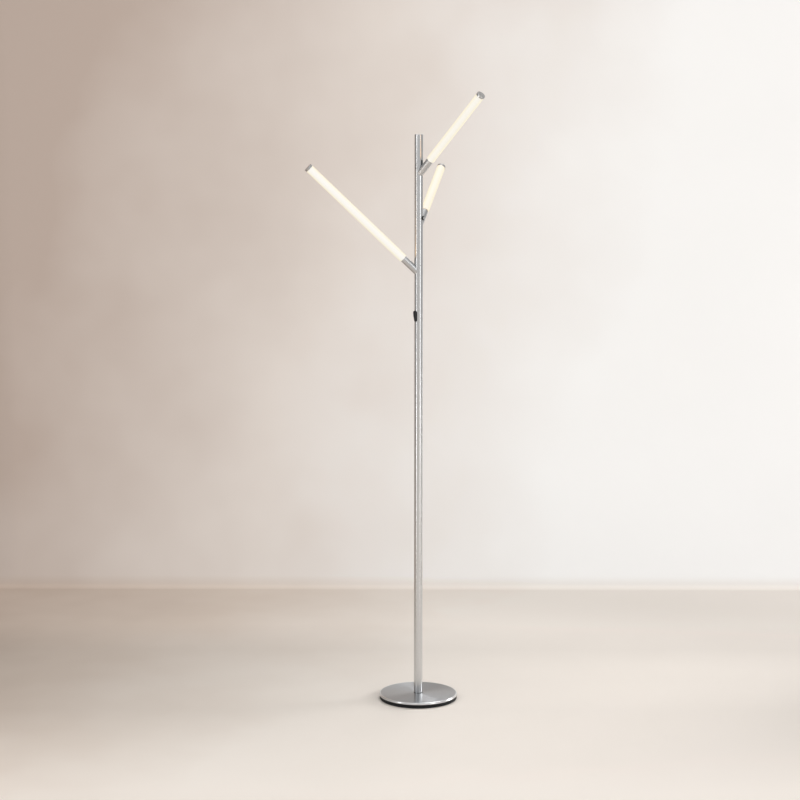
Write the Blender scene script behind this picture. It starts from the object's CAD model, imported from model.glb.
"""Looks of the tree floor lamp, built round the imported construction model. Metres, +Z up.

The sections follow the lamp from the floor upwards, then the room, the light and the camera.
"""

import math

import bmesh
import bpy
import numpy as np
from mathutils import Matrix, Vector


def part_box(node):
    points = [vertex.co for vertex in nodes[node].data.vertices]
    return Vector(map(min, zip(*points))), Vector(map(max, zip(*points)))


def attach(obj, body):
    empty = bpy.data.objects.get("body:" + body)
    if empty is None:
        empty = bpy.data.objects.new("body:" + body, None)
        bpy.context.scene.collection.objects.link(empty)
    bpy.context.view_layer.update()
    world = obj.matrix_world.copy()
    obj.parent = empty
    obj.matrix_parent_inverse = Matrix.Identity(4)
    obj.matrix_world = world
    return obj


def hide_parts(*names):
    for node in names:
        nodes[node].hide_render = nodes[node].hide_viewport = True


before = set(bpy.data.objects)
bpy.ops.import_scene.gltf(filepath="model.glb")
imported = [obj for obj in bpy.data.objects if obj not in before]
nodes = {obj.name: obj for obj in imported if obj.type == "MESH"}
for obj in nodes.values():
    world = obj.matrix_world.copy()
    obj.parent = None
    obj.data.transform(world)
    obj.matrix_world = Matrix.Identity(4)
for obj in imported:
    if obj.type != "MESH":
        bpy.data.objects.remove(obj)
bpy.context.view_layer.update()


# Floor pad ---------------------------------------------------------------------------------
# A disc of black foam rubber under the tray. It is glued on, and only its edge shows.
# The functions that start a finish are defined here, where they are first needed.

def new_finish(name):
    """A material with its node tree, its Principled shader and its Object coordinates."""
    finish = bpy.data.materials.new(name)
    finish.use_nodes = True
    tree = finish.node_tree
    shader = tree.nodes["Principled BSDF"]
    place = tree.nodes.new("ShaderNodeTexCoord").outputs["Object"]
    return finish, tree, shader, place


def add_node(tree, kind, links=None, **settings):
    """A shader node with its settings and inputs. An input that is a socket is linked."""
    node = tree.nodes.new(kind)
    for word, value in settings.items():
        setattr(node, word, value)
    for key, value in (links or {}).items():
        if isinstance(value, bpy.types.NodeSocket):
            tree.links.new(value, node.inputs[key])
        else:
            node.inputs[key].default_value = value
    return node


def wear(node_name, finish):
    """Give a node of the construction model its finish, in place of the one it came with."""
    piece = nodes[node_name]
    piece.data.materials.clear()
    piece.data.materials.append(finish)


def mottle_group():
    """A shader group: a value that drifts slowly over the surface between two limits."""
    group = bpy.data.node_groups.new("mottle", "ShaderNodeTree")
    for word, kind in (("Place", "NodeSocketVector"), ("Scale", "NodeSocketFloat"),
                       ("Low", "NodeSocketFloat"), ("High", "NodeSocketFloat")):
        group.interface.new_socket(word, in_out="INPUT", socket_type=kind)
    group.interface.new_socket("Value", in_out="OUTPUT", socket_type="NodeSocketFloat")
    start = group.nodes.new("NodeGroupInput")
    end = group.nodes.new("NodeGroupOutput")
    noise = add_node(group, "ShaderNodeTexNoise", {
        "Vector": start.outputs["Place"], "Scale": start.outputs["Scale"],
        "Detail": 3.0, "Roughness": 0.6,
    })
    spread = add_node(group, "ShaderNodeMapRange", {
        "Value": noise.outputs["Fac"], "From Min": 0.35, "From Max": 0.65,
        "To Min": start.outputs["Low"], "To Max": start.outputs["High"],
    })
    group.links.new(spread.outputs["Result"], end.inputs["Value"])
    return group


MOTTLE = mottle_group()


def mottle(tree, place, scale, low, high):
    """The drifting value, placed in one material with its own size and limits."""
    group = tree.nodes.new("ShaderNodeGroup")
    group.node_tree = MOTTLE
    tree.links.new(place, group.inputs["Place"])
    for word, value in (("Scale", scale), ("Low", low), ("High", high)):
        group.inputs[word].default_value = value
    return group.outputs["Value"]


def moulded_finish(name, colour, low, high, grain, depth, sheen=0.5):
    """Plastic, rubber or paint: a gloss that drifts from low to high, and a fine raised grain.

    The grain is in bumps to the metre, and the depth is how far they stand up, in metres.
    """
    finish, tree, shader, place = new_finish(name)
    shader.inputs["Base Color"].default_value = colour
    shader.inputs["Specular IOR Level"].default_value = sheen
    tree.links.new(mottle(tree, place, 60.0, low, high), shader.inputs["Roughness"])
    noise = add_node(tree, "ShaderNodeTexNoise", {"Vector": place, "Scale": grain, "Detail": 2.0})
    bump = add_node(tree, "ShaderNodeBump", {
        "Height": noise.outputs["Fac"], "Strength": 0.3, "Distance": depth,
    })
    tree.links.new(bump.outputs["Normal"], shader.inputs["Normal"])
    return finish


wear("floor_pad", moulded_finish(
    "foam_rubber", (0.012, 0.012, 0.012, 1),
    low=0.75, high=0.9, grain=2500.0, depth=0.0002, sheen=0.2,
))


# Tray --------------------------------------------------------------------------------------
# The moulded black tray closes the base from below and shows as the dark band on the floor.
# The cord's rubber bush sits in its back wall, and a rubber ring seals the pole to the cover.

TRAY_BLACK = moulded_finish(
    "tray_plastic", (0.01, 0.01, 0.011, 1),
    low=0.5, high=0.6, grain=1800.0, depth=0.00008, sheen=0.18,
)
wear("base_tray", TRAY_BLACK)
wear("cord_gland", moulded_finish(
    "gland_rubber", (0.01, 0.01, 0.01, 1), low=0.6, high=0.75, grain=2200.0, depth=0.0001,
))
wear("pole_seal", moulded_finish(
    "seal_rubber", (0.012, 0.012, 0.012, 1), low=0.6, high=0.7, grain=2200.0, depth=0.0001,
))


# Weight, stud and screws -------------------------------------------------------------------
# The iron weight is cast and painted; the stud, nut, washer and screws are zinc-plated steel.
# They pull the pole, cover, weight and tray together and are hidden in the finished lamp.

def plain_metal(name, colour, low, high):
    """Plated or turned metal with a slow drift of gloss from low to high."""
    finish, tree, shader, place = new_finish(name)
    shader.inputs["Base Color"].default_value = colour
    shader.inputs["Metallic"].default_value = 1.0
    tree.links.new(mottle(tree, place, 220.0, low, high), shader.inputs["Roughness"])
    return finish


ZINC = plain_metal("zinc_plating", (0.55, 0.55, 0.54, 1), low=0.3, high=0.42)
for name in ("base_stud", "stud_nut", "stud_washer", "tray_screws"):
    wear(name, ZINC)
wear("base_weight", moulded_finish(
    "painted_iron", (0.03, 0.03, 0.03, 1), low=0.55, high=0.8, grain=600.0, depth=0.0004,
))
MILL_ALUMINIUM = plain_metal("mill_aluminium", (0.78, 0.78, 0.79, 1), low=0.3, high=0.4)
wear("foot_plug", MILL_ALUMINIUM)
wear("pole_joiner", MILL_ALUMINIUM)


# Base cover --------------------------------------------------------------------------------
# A disc of steel sheet, spun with a rolled edge whose rim is hemmed inwards, and turned on a
# lathe. It is plated and lacquered, and its circular marks stretch a highlight into a bow tie.

def lathe(name, profile, sides):
    """A closed ring: every point of the profile (radius, height) carried round Z in equal steps."""
    turn = np.linspace(0.0, 2 * math.pi, sides, endpoint=False)
    radius, height = np.asarray(profile).T
    points = np.stack([
        np.outer(np.cos(turn), radius), np.outer(np.sin(turn), radius),
        np.outer(np.ones(sides), height),
    ], axis=-1).reshape(-1, 3)
    count = len(radius)
    step, along = np.meshgrid(np.arange(sides), np.arange(count), indexing="ij")
    here, beyond = step * count, (step + 1) % sides * count
    ahead = (along + 1) % count
    faces = np.stack([here + along, beyond + along, beyond + ahead, here + ahead], axis=-1)
    mesh = bpy.data.meshes.new(name)
    mesh.from_pydata(points.tolist(), [], faces.reshape(-1, 4).tolist())
    mesh.polygons.foreach_set("use_smooth", np.ones(sides * count, bool))
    piece = bpy.data.objects.new(name, mesh)
    bpy.context.scene.collection.objects.link(piece)
    return piece


def bend(centre, radius, start, end, steps):
    """Points on an arc about a centre (radius, height), from one angle to another in degrees."""
    angle = np.radians(np.linspace(start, end, steps))
    return np.stack([centre[0] + radius * np.cos(angle), centre[1] + radius * np.sin(angle)], axis=-1)


def spun_profile(hole, rim, top, rim_foot, sheet, roll):
    """The sheet's section: flat, rolled over the rim, down to a hem, and back along the inside."""
    hem = sheet / 2
    outside = bend((rim - roll, top - roll), roll, 90, 0, 12)
    inside = bend((rim - roll, top - roll), roll - sheet, 0, 90, 8)
    fold = bend((rim - hem, rim_foot + hem), hem, 0, -180, 9)
    flat = [(hole, top), (hole + sheet, top), (0.5 * rim, top), (rim - roll - sheet, top)]
    return np.concatenate([
        np.array([(hole, top - sheet)]), flat, outside, fold, inside,
        np.array([(rim - roll - sheet, top - sheet), (0.5 * rim, top - sheet)]),
    ])[::-1]


def turned_steel(name, colour, rim_colour, rim_start, roughness, anisotropy, ring_pitch):
    """Metal with circular tool marks about the Z axis: fine rings of changing gloss and height.

    Past the radius rim_start the metal is burnished, and so it is brighter there.
    """
    finish, tree, shader, place = new_finish(name)
    shader.inputs["Metallic"].default_value = 1.0
    shader.inputs["Anisotropic"].default_value = anisotropy
    shader.inputs["Anisotropic Rotation"].default_value = 0.25
    parts = add_node(tree, "ShaderNodeSeparateXYZ", {"Vector": place})
    flat = add_node(tree, "ShaderNodeCombineXYZ", {"X": parts.outputs["X"], "Y": parts.outputs["Y"]})
    radius = add_node(tree, "ShaderNodeVectorMath", {0: flat.outputs["Vector"]}, operation="LENGTH")
    along = add_node(tree, "ShaderNodeCombineXYZ", {"X": radius.outputs["Value"]})
    rings = add_node(tree, "ShaderNodeTexNoise", {
        "Vector": along.outputs["Vector"], "Scale": 1.0 / ring_pitch, "Detail": 3.0, "Roughness": 0.7,
    })
    gloss = add_node(tree, "ShaderNodeMapRange", {
        "Value": rings.outputs["Fac"], "From Min": 0.3, "From Max": 0.7,
        "To Min": roughness - 0.05, "To Max": roughness + 0.07,
    })
    tree.links.new(gloss.outputs["Result"], shader.inputs["Roughness"])
    shade = add_node(tree, "ShaderNodeMix", {
        "Factor": rings.outputs["Fac"], "A": tuple(0.9 * c for c in colour[:3]) + (1,), "B": colour,
    }, data_type="RGBA")
    burnished = add_node(tree, "ShaderNodeMapRange", {
        "Value": radius.outputs["Value"], "From Min": rim_start, "From Max": rim_start + 0.0015,
    })
    body = add_node(tree, "ShaderNodeMix", {
        "Factor": burnished.outputs["Result"], "A": shade.outputs["Result"], "B": rim_colour,
    }, data_type="RGBA")
    tree.links.new(body.outputs["Result"], shader.inputs["Base Color"])
    bump = add_node(tree, "ShaderNodeBump", {
        "Height": rings.outputs["Fac"], "Strength": 0.2, "Distance": 0.00004,
    })
    tree.links.new(bump.outputs["Normal"], shader.inputs["Normal"])
    tangent = add_node(tree, "ShaderNodeTangent", direction_type="RADIAL", axis="Z")
    tree.links.new(tangent.outputs["Tangent"], shader.inputs["Tangent"])
    return finish


ROUND_SIDES = 288
BASE_RIM, _, BASE_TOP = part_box("base_cover")[1]
COVER_HOLE = 0.0052
COVER_SHEET = 0.0015
COVER_ROLL = 0.0034
COVER_FOOT = BASE_TOP - 0.0062
BURNISHED_WIDTH = 0.0042

cover_profile = spun_profile(COVER_HOLE, BASE_RIM, BASE_TOP, COVER_FOOT, COVER_SHEET, COVER_ROLL)
spun_cover = lathe("spun_cover", cover_profile, ROUND_SIDES)
spun_cover.data.materials.append(turned_steel(
    "turned_cover", (0.365, 0.377, 0.395, 1), (0.72, 0.73, 0.74, 1),
    rim_start=BASE_RIM - BURNISHED_WIDTH, roughness=0.3, anisotropy=0.9, ring_pitch=0.0007,
))
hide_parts("base_cover")
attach(spun_cover, "stand")

# A soft black band stands on the tray's wall and closes the gap under the cover's hem.
BAND_OUT, _, TRAY_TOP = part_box("base_tray")[1]
BAND_THICKNESS = 0.003
BAND_CORNER = 0.0005
BAND_TOP = COVER_FOOT - 0.0002
BAND_FOOT = TRAY_TOP - 0.0001

corner_height = BAND_TOP - BAND_CORNER
band_profile = np.concatenate([
    bend((BAND_OUT - BAND_CORNER, corner_height), BAND_CORNER, 0, 90, 5),
    bend((BAND_OUT - BAND_THICKNESS + BAND_CORNER, corner_height), BAND_CORNER, 90, 180, 5),
    np.array([(BAND_OUT - BAND_THICKNESS, BAND_FOOT), (BAND_OUT, BAND_FOOT)]),
])
edge_band = lathe("edge_band", band_profile, ROUND_SIDES)
edge_band.data.materials.append(TRAY_BLACK)
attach(edge_band, "stand")


# Pole --------------------------------------------------------------------------------------
# Two lengths of steel tube, polished satin on a belt as they turn, nickel-plated, and screwed
# together on a hidden joiner. The upper length has the slots that the arms' tongues swing in.

def satin_steel(name, colour, low, high, anisotropy, squeeze, grain):
    """Satin metal whose polishing marks are noise squeezed by a different share along each axis."""
    finish, tree, shader, place = new_finish(name)
    shader.inputs["Metallic"].default_value = 1.0
    shader.inputs["Anisotropic"].default_value = anisotropy
    shader.inputs["Anisotropic Rotation"].default_value = 0.25
    spread = add_node(tree, "ShaderNodeMapping", {"Vector": place, "Scale": squeeze})
    noise = add_node(tree, "ShaderNodeTexNoise", {
        "Vector": spread.outputs["Vector"], "Scale": grain, "Detail": 4.0, "Roughness": 0.65,
    })
    gloss = add_node(tree, "ShaderNodeMapRange", {
        "Value": noise.outputs["Fac"], "From Min": 0.3, "From Max": 0.7, "To Min": low, "To Max": high,
    })
    tree.links.new(gloss.outputs["Result"], shader.inputs["Roughness"])
    shade = add_node(tree, "ShaderNodeMix", {
        "Factor": noise.outputs["Fac"], "A": tuple(0.94 * c for c in colour[:3]) + (1,), "B": colour,
    }, data_type="RGBA")
    tree.links.new(shade.outputs["Result"], shader.inputs["Base Color"])
    bump = add_node(tree, "ShaderNodeBump", {
        "Height": noise.outputs["Fac"], "Strength": 0.05, "Distance": 0.000005,
    })
    tree.links.new(bump.outputs["Normal"], shader.inputs["Normal"])
    tangent = add_node(tree, "ShaderNodeTangent", direction_type="RADIAL", axis="Z")
    tree.links.new(tangent.outputs["Tangent"], shader.inputs["Tangent"])
    return finish


POLE_STEEL = satin_steel(
    "satin_nickel", (0.65, 0.655, 0.66, 1),
    low=0.2, high=0.25, anisotropy=0.7, squeeze=(0.06, 0.06, 1.0), grain=1600.0,
)
for name in ("pole_lower", "pole_upper", "pole_cap"):
    wear(name, POLE_STEEL)


# Switch ------------------------------------------------------------------------------------
# A small moulded dimmer that hugs the pole at hand height. Its shell and button are satin
# black, and the board behind them is green laminate inside the tube.

wear("switch_housing", moulded_finish(
    "switch_plastic", (0.012, 0.012, 0.013, 1), low=0.32, high=0.42, grain=2600.0, depth=0.00004,
))
wear("switch_button", moulded_finish(
    "button_plastic", (0.02, 0.02, 0.021, 1), low=0.3, high=0.38, grain=2600.0, depth=0.00004,
))
wear("switch_board", moulded_finish(
    "green_laminate", (0.02, 0.12, 0.05, 1), low=0.4, high=0.5, grain=900.0, depth=0.00002,
))


# Arms --------------------------------------------------------------------------------------
# Each arm has a machined socket, a pin across the pole with a black seat under its head, an
# aluminium core with light strips, a frosted tube over it and a turned cap on its end.

def frosted_glow(name, body, middle, edge, cast):
    """Opal acrylic that glows: nearly white where it faces the eye, yellower at its edges.

    The light that it casts on the metal beside it is warmer than the tube itself looks.
    """
    finish, tree, shader, place = new_finish(name)
    shader.inputs["Base Color"].default_value = body
    facing = add_node(tree, "ShaderNodeLayerWeight", {"Blend": 0.5}).outputs["Facing"]
    glow = add_node(tree, "ShaderNodeMix", {"Factor": facing, "A": middle, "B": edge}, data_type="RGBA")
    seen = add_node(tree, "ShaderNodeLightPath").outputs["Is Camera Ray"]
    shown = add_node(tree, "ShaderNodeMix", {
        "Factor": seen, "A": cast, "B": glow.outputs["Result"],
    }, data_type="RGBA")
    tree.links.new(shown.outputs["Result"], shader.inputs["Emission Color"])
    shader.inputs["Emission Strength"].default_value = 1.0
    tree.links.new(mottle(tree, place, 90.0, 0.42, 0.5), shader.inputs["Roughness"])
    return finish


def lit_strip(name, colour, strength):
    """The white board and emitters of a light strip, switched on."""
    finish, tree, shader, place = new_finish(name)
    shader.inputs["Base Color"].default_value = colour
    shader.inputs["Emission Color"].default_value = colour
    shader.inputs["Emission Strength"].default_value = strength
    tree.links.new(mottle(tree, place, 300.0, 0.5, 0.6), shader.inputs["Roughness"])
    return finish


OPAL = frosted_glow(
    "opal_acrylic", body=(0.25, 0.24, 0.22, 1), middle=(0.765, 0.748, 0.715, 1),
    edge=(0.82, 0.71, 0.4, 1), cast=(1.5, 1.0, 0.58, 1),
)
LIT = lit_strip("lit_strip", (1.0, 0.97, 0.88, 1), strength=2.5)
SOCKET_STEEL = satin_steel(
    "socket_nickel", (0.57, 0.575, 0.58, 1),
    low=0.32, high=0.4, anisotropy=0.0, squeeze=(1.0, 1.0, 1.0), grain=900.0,
)
CAP_STEEL = plain_metal("cap_nickel", (0.5, 0.5, 0.5, 1), low=0.25, high=0.32)
PIN_STEEL = plain_metal("pin_nickel", (0.68, 0.68, 0.68, 1), low=0.15, high=0.22)
SEAT_BLACK = moulded_finish(
    "seat_plastic", (0.012, 0.012, 0.012, 1), low=0.4, high=0.5, grain=2600.0, depth=0.00004,
)
NYLON = moulded_finish(
    "natural_nylon", (0.7, 0.69, 0.64, 1), low=0.45, high=0.55, grain=900.0, depth=0.00004,
)
for arm in ("lower", "upper", "middle"):
    wear(f"{arm}_arm_socket", SOCKET_STEEL)
    wear(f"{arm}_hinge_pin", PIN_STEEL)
    wear(f"{arm}_pin_seat", SEAT_BLACK)
    wear(f"{arm}_hinge_washers", NYLON)
    wear(f"{arm}_light_core", LIT)
    wear(f"{arm}_light_strips", LIT)
    wear(f"{arm}_diffuser", OPAL)
    wear(f"{arm}_end_cap", CAP_STEEL)


# Grub screws -------------------------------------------------------------------------------
# Two small blackened screws lock the upper arm's pin, one above and one below its far end. Each
# has a hexagon socket, and its face stands a hair proud of the pole.

def hexagon_cup(name, centre, turn, radius, proud, depth, key):
    """A round screw face with a six-sided hole: rings of 24 points, the inner ones pulled in.

    A point at angle a on an inner ring lies at key / cos(a folded into its sixth of the turn).
    The rings are laid across the direction that the turn, in degrees about Z, points in.
    """
    count = 24
    angle = np.linspace(0.0, 2 * math.pi, count, endpoint=False)
    six = key / np.cos((angle + math.pi / 6) % (math.pi / 3) - math.pi / 6)
    ring = np.full(count, radius)
    widths = np.stack([0 * ring, ring, ring, 0.92 * ring, six, six, 0 * ring])
    levels = np.array([-depth, -depth, proud - 0.0001, proud, proud, -0.6 * depth, -0.6 * depth])
    side = widths * np.cos(angle)
    rise = widths * np.sin(angle)
    out = np.repeat(levels[:, None], count, axis=1)
    facing = math.radians(turn)
    points = np.stack([
        centre[0] + out * math.cos(facing) - side * math.sin(facing),
        centre[1] + out * math.sin(facing) + side * math.cos(facing),
        centre[2] + rise,
    ], axis=-1).reshape(-1, 3)
    level, along = np.meshgrid(np.arange(len(levels) - 1), np.arange(count), indexing="ij")
    here, beyond = level * count, (level + 1) * count
    ahead = (along + 1) % count
    faces = np.stack([here + along, here + ahead, beyond + ahead, beyond + along], axis=-1)
    mesh = bpy.data.meshes.new(name)
    mesh.from_pydata(points.tolist(), [], faces.reshape(-1, 4).tolist())
    shape = bmesh.new()
    shape.from_mesh(mesh)
    bmesh.ops.remove_doubles(shape, verts=shape.verts, dist=1e-7)
    bmesh.ops.recalc_face_normals(shape, faces=shape.faces)
    shape.to_mesh(mesh)
    shape.free()
    piece = bpy.data.objects.new(name, mesh)
    bpy.context.scene.collection.objects.link(piece)
    return piece


BLACK_OXIDE = moulded_finish(
    "black_oxide", (0.012, 0.012, 0.013, 1),
    low=0.45, high=0.6, grain=1500.0, depth=0.00002, sheen=0.25,
)
POLE_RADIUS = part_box("pole_upper")[1][0]
UPPER_ARM_TURN = -43.0
UPPER_PIN_HEIGHT = 1.602
SCREW_RISE = 0.0046

pin_turn = UPPER_ARM_TURN - 90.0
pin_heading = math.radians(pin_turn)
for word, lift in (("above", SCREW_RISE), ("below", -SCREW_RISE)):
    face = (
        POLE_RADIUS * math.cos(pin_heading), POLE_RADIUS * math.sin(pin_heading),
        UPPER_PIN_HEIGHT + lift,
    )
    screw = hexagon_cup(
        f"grub_screw_{word}", face, pin_turn, radius=0.002, proud=0.0002, depth=0.0012, key=0.0008,
    )
    screw.data.materials.append(BLACK_OXIDE)
    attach(screw, "stand")


# Room --------------------------------------------------------------------------------------
# A limewashed floor that turns up into a wall behind the lamp, in one sheet. It is stage and
# not a part of the lamp. Its back is clear, so that the lamp can be seen from every side.

def sweep_backdrop(width, front, back, height, curve, steps):
    """A sheet that runs back along the floor, turns up on a quarter circle and ends at a height."""
    turn = np.linspace(0.0, math.pi / 2, steps)
    depth = np.concatenate(([-front], back - curve + curve * np.sin(turn), [back]))
    rise = np.concatenate(([0.0], curve - curve * np.cos(turn), [height]))
    side = np.array([-width / 2, width / 2])
    across, along = np.meshgrid(side, np.arange(len(depth)), indexing="xy")
    points = np.stack([across, depth[along], rise[along]], axis=-1).reshape(-1, 3)
    row = np.arange(len(depth) - 1)[:, None] * 2
    faces = np.concatenate([row, row + 1, row + 3, row + 2], axis=1)
    mesh = bpy.data.meshes.new("backdrop")
    mesh.from_pydata(points.tolist(), [], faces.tolist())
    mesh.polygons.foreach_set("use_smooth", np.ones(len(faces), bool))
    sheet = bpy.data.objects.new("backdrop", mesh)
    bpy.context.scene.collection.objects.link(sheet)
    return sheet


# The limewash lightens along WASH_DRIFT, and shows its stops between two distances on it.
WASH_DRIFT = (1.0, -0.45, -0.3)
WASH_START, WASH_END = -2.42, 1.08
WASH_MIDDLE, WASH_LIGHT = 0.32, 0.62
BRUSH_SIZE, BRUSH_CLOUDS = 1.3, 0.14
# Between these heights the floor's paint gives way to the wall's.
FOOT_LOW, FOOT_HIGH = 0.002, 0.05
# The glow's share on the floor, from the front to the wall's foot: least where the lamps meet.
GLOW_FRONT, GLOW_BACK, GLOW_START = -0.85, 1.4, 0.65
GLOW_STOPS = ((0.19, 0.28), (0.32, 0.02), (0.46, 0.0), (0.63, 0.14), (0.78, 0.75))


def limewash(tree, place, shade, middle, light, sunlit, floor_tint):
    """Paint that runs from shade at the left to sunlit at the right, with faint brush clouds.

    The floor is tinted, and far off to the left it lightens again. The wall's two ends darken.
    """
    parts = add_node(tree, "ShaderNodeSeparateXYZ", {"Vector": place})
    on_floor = add_node(tree, "ShaderNodeMapRange", {
        "Value": parts.outputs["Z"], "From Min": FOOT_LOW, "From Max": FOOT_HIGH,
        "To Min": 1.0, "To Max": 0.0,
    }).outputs["Result"]
    drift = add_node(
        tree, "ShaderNodeVectorMath", {0: place, 1: WASH_DRIFT}, operation="DOT_PRODUCT",
    )
    clouds = mottle(tree, place, BRUSH_SIZE, -BRUSH_CLOUDS, BRUSH_CLOUDS)
    spot = add_node(tree, "ShaderNodeMath", {0: drift.outputs["Value"], 1: clouds}, operation="ADD")
    far_left = add_node(tree, "ShaderNodeMapRange", {
        "Value": parts.outputs["X"], "From Min": -1.9, "From Max": -3.4, "To Min": 0.0, "To Max": 2.6,
    })
    spot = add_node(tree, "ShaderNodeMath", {
        0: far_left.outputs["Result"], 1: on_floor, 2: spot.outputs["Value"],
    }, operation="MULTIPLY_ADD")
    share = add_node(tree, "ShaderNodeMapRange", {
        "Value": spot.outputs["Value"], "From Min": WASH_START, "From Max": WASH_END,
    })
    wash = add_node(tree, "ShaderNodeValToRGB", {"Fac": share.outputs["Result"]})
    wash.color_ramp.elements[0].color = shade
    wash.color_ramp.elements[1].color = sunlit
    wash.color_ramp.elements.new(WASH_MIDDLE).color = middle
    wash.color_ramp.elements.new(WASH_LIGHT).color = light
    tint = add_node(tree, "ShaderNodeMix", {
        "Factor": on_floor, "A": (1.0, 1.0, 1.0, 1), "B": floor_tint,
    }, data_type="RGBA")
    tinted = add_node(tree, "ShaderNodeMix", {
        "Factor": 1.0, "A": wash.outputs["Color"], "B": tint.outputs["Result"],
    }, data_type="RGBA", blend_type="MULTIPLY")
    aside = add_node(tree, "ShaderNodeMath", {0: parts.outputs["X"]}, operation="ABSOLUTE")
    ends = add_node(tree, "ShaderNodeMapRange", {
        "Value": aside.outputs["Value"], "From Min": 1.5, "From Max": 2.4, "To Min": 1.0, "To Max": 0.4,
    })
    wall_ends = add_node(tree, "ShaderNodeMix", {
        "Factor": on_floor, 2: ends.outputs["Result"], 3: 1.0,
    })
    return add_node(tree, "ShaderNodeMix", {
        "Factor": 1.0, "A": tinted.outputs["Result"], "B": wall_ends.outputs[0],
    }, data_type="RGBA", blend_type="MULTIPLY").outputs["Result"]


def warm_plaster(washes, floor_tint, surroundings, glow):
    """Limewashed plaster, seen as painted and with a little glow by the eye, metal and glass.

    The light that it throws on the lamp is of the plain grey surroundings. Its back is clear.
    """
    finish, tree, shader, place = new_finish("warm_plaster")
    paint = limewash(tree, place, *washes, floor_tint)
    ray = add_node(tree, "ShaderNodeLightPath")
    mirrored = add_node(tree, "ShaderNodeMath", {
        0: ray.outputs["Is Glossy Ray"], 1: ray.outputs["Is Transmission Ray"],
    }, operation="MAXIMUM")
    seen = add_node(tree, "ShaderNodeMath", {
        0: ray.outputs["Is Camera Ray"], 1: mirrored.outputs["Value"],
    }, operation="MAXIMUM").outputs["Value"]
    colour = add_node(tree, "ShaderNodeMix", {
        "Factor": seen, "A": surroundings, "B": paint,
    }, data_type="RGBA")
    tree.links.new(colour.outputs["Result"], shader.inputs["Base Color"])

    parts = add_node(tree, "ShaderNodeSeparateXYZ", {"Vector": place})
    way_back = add_node(tree, "ShaderNodeMapRange", {
        "Value": parts.outputs["Y"], "From Min": GLOW_FRONT, "From Max": GLOW_BACK,
    })
    share = add_node(tree, "ShaderNodeValToRGB", {"Fac": way_back.outputs["Result"]})
    share.color_ramp.elements[0].color = (GLOW_START,) * 3 + (1,)
    share.color_ramp.elements[1].color = (1, 1, 1, 1)
    for stop, level in GLOW_STOPS:
        share.color_ramp.elements.new(stop).color = (level,) * 3 + (1,)
    lift = add_node(
        tree, "ShaderNodeMath", {0: seen, 1: share.outputs["Color"]}, operation="MULTIPLY",
    )
    shine = add_node(tree, "ShaderNodeMix", {
        "Factor": lift.outputs["Value"], "A": (0.0, 0.0, 0.0, 1), "B": paint,
    }, data_type="RGBA")
    tree.links.new(shine.outputs["Result"], shader.inputs["Emission Color"])
    shader.inputs["Emission Strength"].default_value = glow

    behind = add_node(tree, "ShaderNodeNewGeometry").outputs["Backfacing"]
    front = add_node(tree, "ShaderNodeMath", {0: 1.0, 1: behind}, operation="SUBTRACT")
    tree.links.new(front.outputs["Value"], shader.inputs["Alpha"])
    shader.inputs["Roughness"].default_value = 0.9
    shader.inputs["Specular IOR Level"].default_value = 0.1
    return finish


backdrop = sweep_backdrop(width=12.0, front=9.0, back=1.45, height=6.0, curve=0.02, steps=12)
backdrop.data.materials.append(warm_plaster(
    ((0.46, 0.37, 0.315, 1), (0.69, 0.62, 0.565, 1), (0.88, 0.86, 0.835, 1), (0.97, 0.95, 0.93, 1)),
    floor_tint=(0.89, 0.84, 0.79, 1), surroundings=(0.46, 0.45, 0.44, 1), glow=0.36,
))


# Light -------------------------------------------------------------------------------------
# A tall soft box stands front right and a narrow one front left. A high one behind the lamp
# draws the bow tie on the base, a low one at the right grounds it, and the world fills the rest.

def soft_box(name, turn, distance, height, width, tall, watts, pitch=0.0, spread=180.0):
    """A rectangular lamp that faces the pole from a turn counted from the camera's side."""
    light = bpy.data.lights.new(name, "AREA")
    light.shape = "RECTANGLE"
    light.size = width
    light.size_y = tall
    light.energy = watts
    light.spread = math.radians(spread)
    lamp = bpy.data.objects.new(name, light)
    angle = math.radians(turn)
    lamp.location = (distance * math.sin(angle), -distance * math.cos(angle), height)
    lamp.rotation_euler = (math.pi / 2 - math.radians(pitch), 0.0, angle)
    bpy.context.scene.collection.objects.link(lamp)


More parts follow.
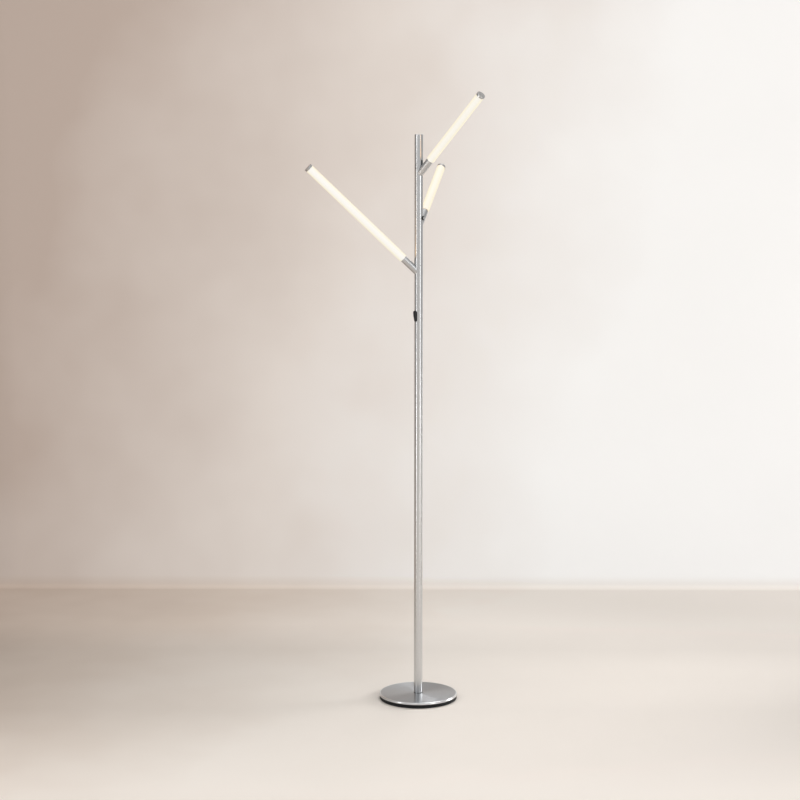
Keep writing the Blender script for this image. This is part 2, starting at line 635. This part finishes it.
soft_box("key_box", 46.0, distance=3.2, height=1.3, width=0.6, tall=2.6, watts=17.0)
soft_box("side_box", -56.0, distance=2.6, height=1.2, width=0.3, tall=2.4, watts=11.0)
soft_box("low_box", 106.0, distance=2.6, height=0.8, width=0.8, tall=0.8, watts=2.6,
         pitch=17.0, spread=40.0)
soft_box("bow_box", 159.0, distance=1.4, height=2.1, width=0.6, tall=0.6, watts=2.1,
         pitch=56.0, spread=70.0)
soft_box("top_box", 0.0, distance=0.6, height=3.3, width=2.0, tall=2.0, watts=9.0, pitch=90.0)

# The world is a plain grey that is a little darker to both sides.
world = bpy.data.worlds.new("room_fill")
bpy.context.scene.world = world
world.use_nodes = True
fill = world.node_tree.nodes["Background"]
heading = add_node(world.node_tree, "ShaderNodeTexCoord").outputs["Generated"]
heading_x = add_node(world.node_tree, "ShaderNodeSeparateXYZ", {"Vector": heading}).outputs["X"]
sideways = add_node(world.node_tree, "ShaderNodeMath", {0: heading_x}, operation="ABSOLUTE")
dusk = add_node(world.node_tree, "ShaderNodeMapRange", {
    "Value": sideways.outputs["Value"], "From Min": 0.7, "From Max": 0.97, "To Min": 0.66, "To Max": 0.5,
})
world.node_tree.links.new(dusk.outputs["Result"], fill.inputs["Color"])
fill.inputs["Strength"].default_value = 1.0


# Camera ------------------------------------------------------------------------------------
# It stands at the photograph's place, turned and pitched a little, as fitted to the lamp.
# The lens is given by its focal length in pixels of the square frame.

CAMERA_DISTANCE = 5.752
CAMERA_HEIGHT = 1.682
PITCH = 7.62
YAW = 0.55
FRAME_PIXELS = 800
FOCAL_PIXELS = 1950
lens = bpy.data.cameras.new("view")
lens.sensor_width = 36.0
lens.lens = lens.sensor_width * FOCAL_PIXELS / FRAME_PIXELS
camera = bpy.data.objects.new("view", lens)
camera.location = (0.0, -CAMERA_DISTANCE, CAMERA_HEIGHT)
camera.rotation_euler = (math.radians(90.0 - PITCH), 0.0, math.radians(YAW))
bpy.context.scene.collection.objects.link(camera)
bpy.context.scene.camera = camera

bpy.context.scene.view_settings.view_transform = "Standard"
